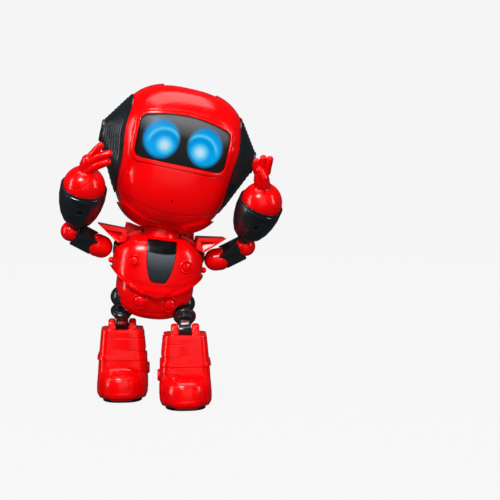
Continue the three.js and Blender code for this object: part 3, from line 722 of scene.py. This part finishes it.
def stud(size, x, z, profile):
    """A turned boss standing square on a bulge's front; heights are measured out from its surface."""
    step = 0.5
    y = front_of(size, x, z)
    lean_x = (front_of(size, x + step, z) - front_of(size, x - step, z)) / (2 * step)
    lean_z = (front_of(size, x, z + step) - front_of(size, x, z - step)) / (2 * step)
    outward = Vector((lean_x, -1, lean_z)).normalized()
    spin = Vector((0, 0, 1)).rotation_difference(outward)
    return turned(profile, 48, lambda u, v, h: tuple(Vector((x, y, z)) + spin @ Vector((u, v, h))))


def ringed_boss(radius, height):
    """A raised rim, a groove and a dome inside it."""
    rim = 0.45 * height
    return [
        (0, -1.5), (radius, -1.5), (radius, rim * 0.6), (radius - 0.3, rim), (radius - 0.8, rim * 0.9),
        (radius - 1.1, -0.1), (radius - 1.3, rim * 0.5), (0.6 * radius, 0.72 * height),
        (0.3 * radius, 0.95 * height), (0, height),
    ]


def panel_outline(grow):
    """A shield: straight along its top, its sides drawing in to a short rounded foot."""
    steps = 24
    drop = PANEL["top"] - PANEL["bottom"]
    side = []
    for i in range(steps + 1):
        share = math.sin(math.pi / 2 * i / steps)
        half = PANEL["foot"] + (PANEL["half"] - PANEL["foot"]) * (1 - share ** 2.5) ** 0.6 + grow
        side.append((half, PANEL["top"] + grow - share * (drop + 2 * grow)))
    return side + [(-x, z) for x, z in reversed(side)]


def buckle_outline():
    """A crescent that hangs on the middle of the belt."""
    half, top, low = BUCKLE["half"], BUCKLE["top"], BUCKLE["low"]
    steps = 24
    across = [-half + 2 * half * i / steps for i in range(steps + 1)]
    under = [(x, low + (top - low) * (x / half) ** 2) for x in across]
    over = [(x, top - 0.6 * (1 - (x / half) ** 2)) for x in reversed(across[1:-1])]
    return under + over


def belt():
    """The recessed band under the chest, its thin lower lip and the crescent buckle."""
    band = common(cut(skin(CHEST, -0.5, -WALL), below_curve(*LIP)), below_curve(*BAND, drop=-0.6))
    lip = common(cut(skin(CHEST, 1.0, -1.2), below_curve(*LIP)), below_curve(*LIP, drop=-LIP_HEIGHT))
    buckle = common(skin(CHEST, 1.8, -1), slab(buckle_outline(), -FAR, 0))
    return join(band, lip, buckle)


def collar_wall():
    """The collar's back wall, which rises to a short point behind each shoulder."""
    half = [(19.5, 12), (22.5, 19), (21.5, 27), (19, 26.8), (14.5, 25.6), (9, 25)]
    outline = half + [(-x, z) for x, z in reversed(half)]
    return slab(outline, 13.5, 16.5)


def torso_openings():
    """The round holes for the neck and for the two shoulder axles."""
    return rod(NECK_HOLE, 12, FAR), rod(STUB_RADIUS + FIT, -FAR, FAR, "x", (0, 0, SHOULDER_Z))


def neckline_step():
    """The part of the chest above its neckline, which is sunk a little."""
    half = [(26, 12.8), (21.8, 16), (13.8, 21.7)]
    outline = half + [(-x, z) for x, z in reversed(half)] + [(-26, 40), (26, 40)]
    return common(cut(bulge(CHEST, 3), bulge(CHEST, -1.3)), slab(outline, -FAR, -2))


def door_slab(grow):
    outline = rounded_box(DOOR["half"] + grow, DOOR["low"] - grow, DOOR["high"] + grow, DOOR["corner"])
    return slab(outline, 0, FAR)


def torso_shells():
    upper = cut(skin(CHEST, 0, -2 * WALL), below_curve(*BAND), neckline_step())
    chest = join(upper, belt())
    for _, side in SIDES:
        x, z = CHEST_BOSS
        join(chest, stud(CHEST, side * x, z, ringed_boss(3.9, 1.6)))
        stud_at = (side * SIDE_STUD["x"], SIDE_STUD["y"], SIDE_STUD["z"])
        join(chest, ball(SIDE_STUD["radius"], stud_at, 32))
    cut(chest, *torso_openings(), box(-FAR, FAR, TORSO_SPLIT, FAR, -FAR, FAR))
    cut(chest, slab(panel_outline(FIT), -FAR, 0))
    piece(chest, "chest", "torso", RED, ["chest_shell"])

    back = cut(skin(CHEST, 0, -WALL), below_curve(*LIP))
    join(back, cut(collar_wall(), bulge(CHEST, -WALL)))
    cut(back, *torso_openings(), box(-FAR, FAR, -FAR, TORSO_SPLIT + FIT, -FAR, FAR))
    cut(back, door_slab(0), box(*SWITCH_SLOT))
    piece(back, "back", "torso", RED, ["back_shell"])
    cover = common(skin(CHEST, 0.4, -WALL), door_slab(-FIT))
    cut(cover, rod(1.2, 18, FAR, "y", (0, 0, 10)), box(-5, 5, 20, FAR, -5, -4.2))
    piece(cover, "door", "torso", RED, ["battery_door"])
    panel = common(skin(CHEST, 0.5, -1.6), slab(panel_outline(0), -FAR, -4))
    piece(panel, "panel", "torso", panel_material(), ["chest_panel"])


def leg_room(name):
    """The space a leg sweeps under its hip, drawn at both ends of its swing and at rest."""
    profile = [(0, 0), (5.2, 0), (5.2, -8), (7.5, -8.6), (7.5, -20), (0, -20)]
    to_torso = PLACES["torso"].inverted() @ PLACES[f"leg_{name}"]
    rooms = []
    for degrees in HIP_SWING:
        swing = to_torso @ Matrix.Rotation(math.radians(degrees), 4, "X")
        rooms.append(turned(profile, 48, lambda x, y, z: tuple(swing @ Vector((x, y, z)))))
    return rooms


def pelvis():
    body = skin(PELVIS, 0, -WALL)
    join(body, common(skin(PELVIS, PELVIS_FOOT, -WALL / 2), below_curve(*SEAM)))
    cut(body, box(-FAR, FAR, -FAR, FAR, 1, FAR))
    for name, side in SIDES:
        x, z = BELLY_BOSS
        join(body, stud(PELVIS, side * x, z, ringed_boss(5, 2)))
        cut(body, ball(HIP_BALL + 0.6, (side * HIP[0], 0, HIP[1])), *leg_room(name))
    piece(body, "pelvis", "torso", RED, ["pelvis_shell"])


WING_DEPTH = (-12, 7)


def wing(name, side):
    """A pointed shoulder guard with a sunk facet in its front."""
    outline = [(22, 24), (39.4, 25.4), (26.5, 15.2), (21, 17)]
    body = slab([(side * x, z) for x, z in outline], *WING_DEPTH)
    rim = [(35.6, 22.7), (25.3, 15.4), (24.3, 21.7)]
    floor = [(34.4, 22.6, -10.6), (25.6, 15.2, -12), (24.7, 21.6, -8.0)]
    points = [(side * x, -13, z) for x, z in rim] + [(side * x, y, z) for x, z, y in floor]
    faces = [(0, 1, 2), (3, 5, 4), (0, 3, 4, 1), (1, 4, 5, 2), (2, 5, 3, 0)]
    stub_room = rod(STUB_RADIUS + FIT, -FAR, FAR, "x", (0, 0, SHOULDER_Z))
    cut(body, closed("facet", points, faces), bulge(CHEST, FIT), stub_room)
    piece(body, f"wing_{name}", "torso", RED, [f"shoulder_guard_{name}"], edge=0.5)


def neck_and_torso():
    collar = turned([(8.4, 13), (12.1, 13), (12.1, 22.3), (11, 24.7), (11, 27.2), (8.4, 27.2), (8.4, 13)], 96)
    piece(collar, "collar", "torso", RED, ["neck_collar"])
    ring = turned([(0, 17), (8, 17), (8, 22.6), (4.4, 23), (4.4, 24.8), (0, 24.8)], 96)
    piece(ring, "neck_ring_skin", "neck_turner", DARK, ["neck_ring"])
    foot = join(ball(5, (0, 0, NECK_PIVOT)), rod(3.2, 25.9, NECK_PIVOT))
    piece(foot, "neck_ball_skin", "neck_nodder", DARK, ["neck_ball"])
    torso_shells()
    pelvis()
    for name, side in SIDES:
        wing(name, side)


neck_and_torso()


# ---------- arms and hands ----------

SHOULDER_BALL = 7.1
ELBOW_BALL = 6.2
CUP_RADIUS = 13.8
DOME_RADIUS = 12.6
LINK = (5.2, 5.6)  # half width and half depth
LINK_SCREW = 11  # its height up the link
CUP_TURNED = [
    (0, 4), (4.6, 4), (4.6, 8.2), (7.2, 8.2), (9, 10), (11.3, 14.5), (12.9, 20), (CUP_RADIUS, 26),
    (CUP_RADIUS, 31.3), (13.5, 31.5), (13.5, 32), (CUP_RADIUS, 32.2), (CUP_RADIUS, CUP_RIM),
    (DOME_RADIUS + 0.5, CUP_RIM), (DOME_RADIUS, CUP_RIM - 4), (10.6, CUP_RIM - 8),
    (6.5, CUP_RIM - 11.8), (0, CUP_RIM - 13.2),
]
# Palm, fingers and thumb as start, knuckle, tip and radius, from the middle of the dome, +Z up the forearm.
HANDS = {
    "left": [
        ((-1, 0, 11), (-1, 0, 15), (-1, 0, 18), 4.4),
        ((-0.5, 0.5, 19), (2.6, 0.7, 25), (4.6, 0.8, 28.8), 2.5),
        ((-1.2, -0.8, 16.5), (5.6, -1, 23), (10.2, -1, 25.6), 2.6),
        ((0, -2.2, 12.8), (6, -2.6, 18.2), (10.2, -2.5, 20.8), 2.7),
    ],
    "right": [
        ((-3.4, 0, 10.5), (-5.8, 0, 14.8), (-7.6, 0, 18.5), 5),
        ((-10.6, 0, 19.5), (-12.6, -0.3, 23), (-13.6, -0.6, 26), 2.5),
        ((-7.8, 0.5, 21), (-9.4, 0.5, 25), (-10.2, 0.5, 28.8), 2.5),
        ((-5, 0, 21), (-5.8, 0.2, 25.2), (-6.2, 0.5, 29.4), 2.5),
        ((-10.4, -3.4, 22.5), (-6.4, -5, 19.4), (-3.6, -5.2, 14), 2.4),
    ],
}


def shoulder(name, side):
    stub = rod(STUB_RADIUS, *sorted((-side * 10, -side * 16.5)), "x", edge=0.4)
    piece(stub, f"stub_{name}", f"shoulder_{name}", DARK, [f"shoulder_stub_{name}"])
    egg = join(ball(SHOULDER_BALL), capsule((0, 0, 0), (-side * 2.6, 0, -0.8), SHOULDER_BALL - 0.1, 48))
    cut(egg, rod(1.3, -FAR, -5, "y", (-side * 2.6, 0, -2.4)))
    piece(egg, f"shoulder_skin_{name}", f"shoulder_{name}", RED, [f"shoulder_ball_{name}"])


def upper_arm(name, side):
    half, deep = LINK
    link = box(-half, half, -deep, deep, 2.5, UPPER_ARM - 2.6)
    cut(link, ball(SHOULDER_BALL + FIT), ball(ELBOW_BALL + FIT, (0, 0, UPPER_ARM)))
    cut(link, rod(1.7, -FAR, -5.0, "y", (0, 0, LINK_SCREW)))
    join(link, rod(1.3, -5.5, -4, "y", (0, 0, LINK_SCREW), edge=0.2))
    piece(link, f"link_{name}", f"upper_arm_{name}", DARK, [f"upper_arm_link_{name}"], edge=0.8)
    dimple = rod(1.2, -FAR, -4.4, "y", (-side * 1.5, 0, UPPER_ARM - 2))
    elbow = cut(ball(ELBOW_BALL, (0, 0, UPPER_ARM)), dimple)
    piece(elbow, f"elbow_{name}", f"upper_arm_{name}", RED, [f"elbow_ball_{name}"])


def forearm(name, side):
    offset = -side * CUP_INBOARD
    cup = turned(CUP_TURNED, 96, lambda x, y, z: (x + offset, y, z))
    profile = [(-12.6, 40), (-12.6, 25), (-12.0, 19), (-8.2, 8), (-8, 0), (-FAR, 0), (-FAR, 40)]
    front = prism(profile, -FAR, FAR, lambda u, v, h: (h, u, v))
    facet = common(front, box(-FAR, FAR, -FAR, FAR, -FAR, 29.2))
    cut(cup, facet, ball(ELBOW_BALL + FIT), rod(1.5, -FAR, -10, "y", (offset, 0, 22)))
    cut(cup, box(offset - side * 2 - 4, offset - side * 2 + 4, -FAR, -12.2, 25.6, 26.1))
    piece(cup, f"cup_{name}", f"forearm_{name}", DARK, [f"forearm_cup_{name}"], edge=0.35)


def finger(start, knuckle, tip, radius):
    """Two joints that taper from the palm to the fingertip."""
    return join(capsule(start, knuckle, radius, end_radius=radius * 0.93),
                capsule(knuckle, tip, radius * 0.97, end_radius=radius * 0.82))


def hand(name, side):
    dome = ball(DOME_RADIUS, around=96)
    panel = Vector((side * 0.45, -0.35, 0.82)).normalized()
    spin = Vector((0, 0, 1)).rotation_difference(panel)
    seam = turned([(7.9, 0), (8.2, 0), (8.2, FAR), (7.9, FAR), (7.9, 0)], 96,
                  lambda x, y, z: tuple(spin @ Vector((x, y, z))))
    seam = cut(seam, ball(DOME_RADIUS - 0.35, around=96))
    cut(dome, seam)
    piece(dome, f"dome_{name}", f"hand_{name}", RED, [f"hand_dome_{name}"], edge=0)
    fingers = [finger(*one) for one in HANDS[name]]
    grip = cut(join(*fingers), ball(DOME_RADIUS + FIT / 3, around=96))
    piece(grip, f"grip_{name}", f"hand_{name}", RED, [f"hand_fingers_{name}"], edge=0.3)


for name, side in SIDES:
    shoulder(name, side)
    upper_arm(name, side)
    forearm(name, side)
    hand(name, side)


# ---------- legs and boots ----------

SOLE = 1.2
BOOT = {"half": 16, "top_half": 13, "height": 44, "ridge": 25.6, "front": -13, "back": 14, "corner": 6,
        "round_below": 7, "round_by": 0.17}
TOE = {"width": 17.2, "front": 26.5, "back": 18, "up": 13, "down": 7.6, "centre": 8.2,
       "power": 3.4, "plan": 2.2}
HEEL = {"width": 16, "front": 12, "back": 18, "up": 16.5, "down": 8.2, "power": 3, "centre": 8.7}
KNOB = {"radius": 3.7, "low": 14, "high": 17, "at": (0, 1, 18.5)}
TOE_TOP = 21.2
PLATES = ((31.8, 38.4, 0.6), (39.4, 42.6, 0.6), (21.6, 24.8, 0.8))  # low, high and how far raised
RIDGE_HEIGHT = 2.2
# Half width, low, high, corner and how far each stands off the toe.
TOE_FRAMES = ((10.6, 4.8, 18.6, 2, 0.5), (8.3, 4.2, 17, 1.6, 1.1), (6.6, 2.0, 3.5, 0.6, 1.0))
TOE_POCKET = (5.7, 7, 15.6, 1.2, 3)
LUG = {"inner": 4.1, "outer": 8.7, "radius": 4.2, "foot": 36}
PIN_RADIUS = 1.5
POST = (3.7, 3.2)  # half width and half depth
BOOT_ROOM = (-9.5, 9.5, -9, 10, 0, 37)  # for the wheel and its motor
HIP_PROFILE = [
    (0, -15.6), (3.6, -15.6), (4.6, -15.4), (5.2, -15.1), (5.3, -14.6), (5.3, -13.4), (4.9, -12.9),
    (4.9, -12.5), (6.8, -12.2), (7, -11.6), (7, -10.2), (6.6, -9.7), (4.7, -9.2), (4.5, -8.5),
    (4.5, -6), (0, -5),
]


def leg(name):
    piece(ball(HIP_BALL), f"hip_{name}", f"leg_{name}", DARK, [f"hip_ball_{name}"])
    collar = cut(turned(HIP_PROFILE, 64), ball(HIP_BALL + FIT / 3))
    piece(collar, f"knee_{name}", f"leg_{name}", DARK, [f"knee_collar_{name}"])
    half, deep = POST
    post = join(box(-half, half, -deep, deep, -LEG, -16.3), rod(deep, -half, half, "x", (0, 0, -LEG)),
                rod(PIN_RADIUS, -6.4, 6.4, "x", (0, 0, -LEG)))
    piece(post, f"post_{name}", f"leg_{name}", DARK, [f"ankle_post_{name}"], edge=0.5)
    window = box(-2.5, 2.5, -deep - FIT, -deep + FIT, -LEG + 1.6, -17.2)
    piece(window, f"post_window_{name}", f"leg_{name}", STEEL, edge=0.2)


def tapered(x, y, z):
    """Draws the shin in towards its top and rounds it in at the bottom."""
    rise = max(0, z / BOOT["height"]) ** 1.5
    sink = max(0, 1 - z / BOOT["round_below"]) ** 2
    taper = 1 - (1 - BOOT["top_half"] / BOOT["half"]) * rise - BOOT["round_by"] * sink
    return x * taper, y * taper, z


def shin_block(grow, low, high):
    half = BOOT["half"] + grow
    outline = rounded_box(half, BOOT["front"] - grow, BOOT["back"] + grow, BOOT["corner"] + grow)
    rows = 40
    points = []
    for row in range(rows + 1):
        z = low + (high - low) * row / rows
        points += [tapered(u, v, z) for u, v in outline]
    count = len(outline)
    faces = ring_faces(rows + 1, count)
    faces += [tuple(range(count)), tuple(range(rows * count, rows * count + count))]
    return closed("shin", points, faces)


def plates(side):
    """Raised panels with thin edges on the half of the boot that faces the other boot."""
    def half_of(z_low, z_high, grow):
        near, far = sorted((-side * 2.5, -side * FAR))
        return common(shin_block(grow, z_low, z_high), box(near, far, -FAR, 4, 0, FAR))

    return [half_of(*plate) for plate in PLATES]


def lug_pair():
    """The two rounded lugs that hold the ankle pin."""
    lugs = []
    for _, side in SIDES:
        low, high = sorted((side * LUG["inner"], side * LUG["outer"]))
        radius = LUG["radius"]
        lug = join(rod(radius, low, high, "x", (0, 0, ANKLE_HEIGHT), edge=1.0),
                   box(low, high, -radius, radius, LUG["foot"], ANKLE_HEIGHT))
        lugs.append(lug)
    return lugs


def toe_cap():
    """The toe, with nested raised frames on its front and flutes down its sides."""
    def front_skin(half, low, high, corner, grow):
        return common(bulge(TOE, grow), slab(rounded_box(half, low, high, corner), -FAR, 0))

    body = join(bulge(TOE), *[front_skin(*frame_size) for frame_size in TOE_FRAMES])
    cut(body, cut(front_skin(*TOE_POCKET), bulge(TOE, 0.6)))
    for _, side in SIDES:
        flute = [(side * x, z) for x, z in ((12.4, 4.5), (13.4, 4.5), (12.8, 16), (12.1, 16))]
        join(body, common(bulge(TOE, 0.6), slab(flute, -FAR, 0)))
    return body


def boot(name, side):
    body = f"boot_{name}"

    def knob(grow):
        low, high = sorted((-side * (KNOB["low"] - grow), -side * KNOB["high"]))
        return rod(KNOB["radius"] + grow, low, high, "x", KNOB["at"], edge=0.6)

    shin = join(shin_block(0, SOLE + FIT, BOOT["height"]),
                common(bulge(HEEL), box(-FAR, FAR, 0, FAR, SOLE + FIT, FAR)),
                shin_block(1, BOOT["ridge"], BOOT["ridge"] + RIDGE_HEIGHT), *plates(side), *lug_pair())
    gap = LUG["inner"]
    cut(shin, box(-gap, gap, -5.6, 5.6, ANKLE_HEIGHT - LUG["radius"], FAR))
    cut(shin, rod(PIN_RADIUS + FIT, -FAR, FAR, "x", (0, 0, ANKLE_HEIGHT)),
        box(-FAR, FAR, -FAR, BOOT["front"] + 1, 0, TOE_TOP + FIT), box(*BOOT_ROOM), knob(FIT))
    piece(shin, f"shin_{name}", body, RED, [f"boot_shin_{name}"], edge=0.6)
    cap = common(toe_cap(), box(-FAR, FAR, -FAR, BOOT["front"] + 1 - FIT, SOLE + FIT, TOE_TOP))
    cut(cap, common(bulge(TOE, -2.2), box(-11, 11, -FAR, 0, 0, 14)))
    piece(cap, f"toe_{name}", body, RED, [f"boot_toe_cap_{name}"], edge=0.6)
    piece(knob(0), f"knob_{name}", body, RED, [f"side_knob_{name}"])


for name, side in SIDES:
    leg(name)
    boot(name, side)


# ---------- CAD pieces shown as they are ----------

def paint(material, *kinds):
    """Gives its material to every CAD node whose name starts with one of these."""
    for node, thing in frame["nodes"].items():
        if node.startswith(kinds):
            thing.data.materials.clear()
            thing.data.materials.append(material)


paint(BOARD, "main_board", "eye_board")
paint(GLOW, "eye_disc")
paint(BLACK, "speaker", "power_switch")
paint(DARK, "battery_pack", "neck_socket", "sole_plate")
paint(STEEL, "drive_motor")
paint(RUBBER, "drive_wheel")


# ---------- camera, lights and floor ----------

def backdrop():
    """A pale glowing floor that curves up into a wall. The robot neither reflects it nor is lit by it."""
    half = 3.0
    front, start, bend, top = -2.5, 1.2, 1.2, 4.0
    steps = 24
    profile = [(front, 0), (start, 0)]
    profile += [(start + bend * math.sin(a), bend * (1 - math.cos(a)))
                for a in (math.pi / 2 * i / steps for i in range(1, steps + 1))]
    profile.append((start + bend, top))
    points = [(x, y, z) for y, z in profile for x in (-half, half)]
    faces = [(2 * i, 2 * i + 1, 2 * i + 3, 2 * i + 2) for i in range(len(profile) - 1)]
    floor = mesh_object("backdrop", points, faces)
    floor.data.shade_smooth()
    n = Nodes("backdrop")
    n.shader.inputs["Base Color"].default_value = (0.02, 0.02, 0.02, 1)
    n.shader.inputs["Roughness"].default_value = 1.0
    n.shader.inputs["Specular IOR Level"].default_value = 0.0
    n.shader.inputs["Emission Color"].default_value = (1, 1, 1, 1)
    n.shader.inputs["Emission Strength"].default_value = 0.908
    floor.data.materials.append(n.material)
    floor.visible_glossy = False
    floor.visible_diffuse = False


def softbox(name, place, target, width, height, watts, glossy):
    """An area light; without `glossy` it lights surfaces but leaves no highlight on them."""
    lamp = bpy.data.lights.new(name, "AREA")
    lamp.shape = "RECTANGLE"
    lamp.size = width
    lamp.size_y = height
    lamp.energy = watts
    thing = bpy.data.objects.new(name, lamp)
    bpy.context.scene.collection.objects.link(thing)
    thing.location = place
    thing.rotation_euler = (Vector(target) - Vector(place)).to_track_quat("-Z", "Y").to_euler()
    thing.visible_glossy = glossy


# Place in metres, width, height, watts and whether the light leaves a highlight.
SOFTBOXES = {
    "key": ((-0.30, -0.80, 0.75), 0.30, 0.20, 6.5, True),
    "fill": ((0.15, -1.2, 0.60), 0.9, 0.9, 9.0, False),
    "low": ((0.10, -1.2, 0.05), 0.8, 0.5, 2.6, False),
    "top": ((0.05, -0.10, 0.95), 0.8, 0.5, 4.2, True),
    "left": ((-0.85, -0.25, 0.30), 0.16, 0.7, 2.4, True),
    "right": ((0.90, -0.45, 0.35), 0.12, 0.6, 2.0, True),
    "rear": ((0.20, 1.0, 0.70), 0.8, 0.6, 3.0, False),
}


def lights():
    middle = (cad_box[0] + cad_box[1]) / 2
    for name, (place, width, height, watts, glossy) in SOFTBOXES.items():
        softbox(name, place, middle, width, height, watts, glossy)
    world = bpy.data.worlds.new("studio")
    world.use_nodes = True
    world.node_tree.nodes["Background"].inputs["Color"].default_value = (0.9, 0.93, 1.0, 1)
    world.node_tree.nodes["Background"].inputs["Strength"].default_value = 0.05
    bpy.context.scene.world = world


PHOTO_DISTANCE = 0.70  # m, camera to the plane of the torso
PHOTO_SCALE = 0.62 * MM  # m per pixel at that plane
PHOTO_PIXELS = 500
CAMERA_HEIGHT = 0.150
CAMERA_SIDE = -3.6 * MM  # sideways from the neck
AIM_SIDE = 54.1 * MM
AIM_HEIGHT = 0.0936


def camera():
    data = bpy.data.cameras.new("camera")
    data.sensor_width = 36
    data.lens = data.sensor_width * PHOTO_DISTANCE / (PHOTO_PIXELS * PHOTO_SCALE)
    thing = bpy.data.objects.new("camera", data)
    bpy.context.scene.collection.objects.link(thing)
    neck = position("neck_turn")
    thing.location = (neck.x + CAMERA_SIDE, neck.y - PHOTO_DISTANCE, CAMERA_HEIGHT)
    aim = Vector((neck.x + AIM_SIDE, neck.y, AIM_HEIGHT))
    thing.rotation_euler = (aim - thing.location).to_track_quat("-Z", "Y").to_euler()
    data.dof.use_dof = False
    bpy.context.scene.camera = thing


backdrop()
lights()
camera()
bpy.context.scene.view_settings.view_transform = "Standard"
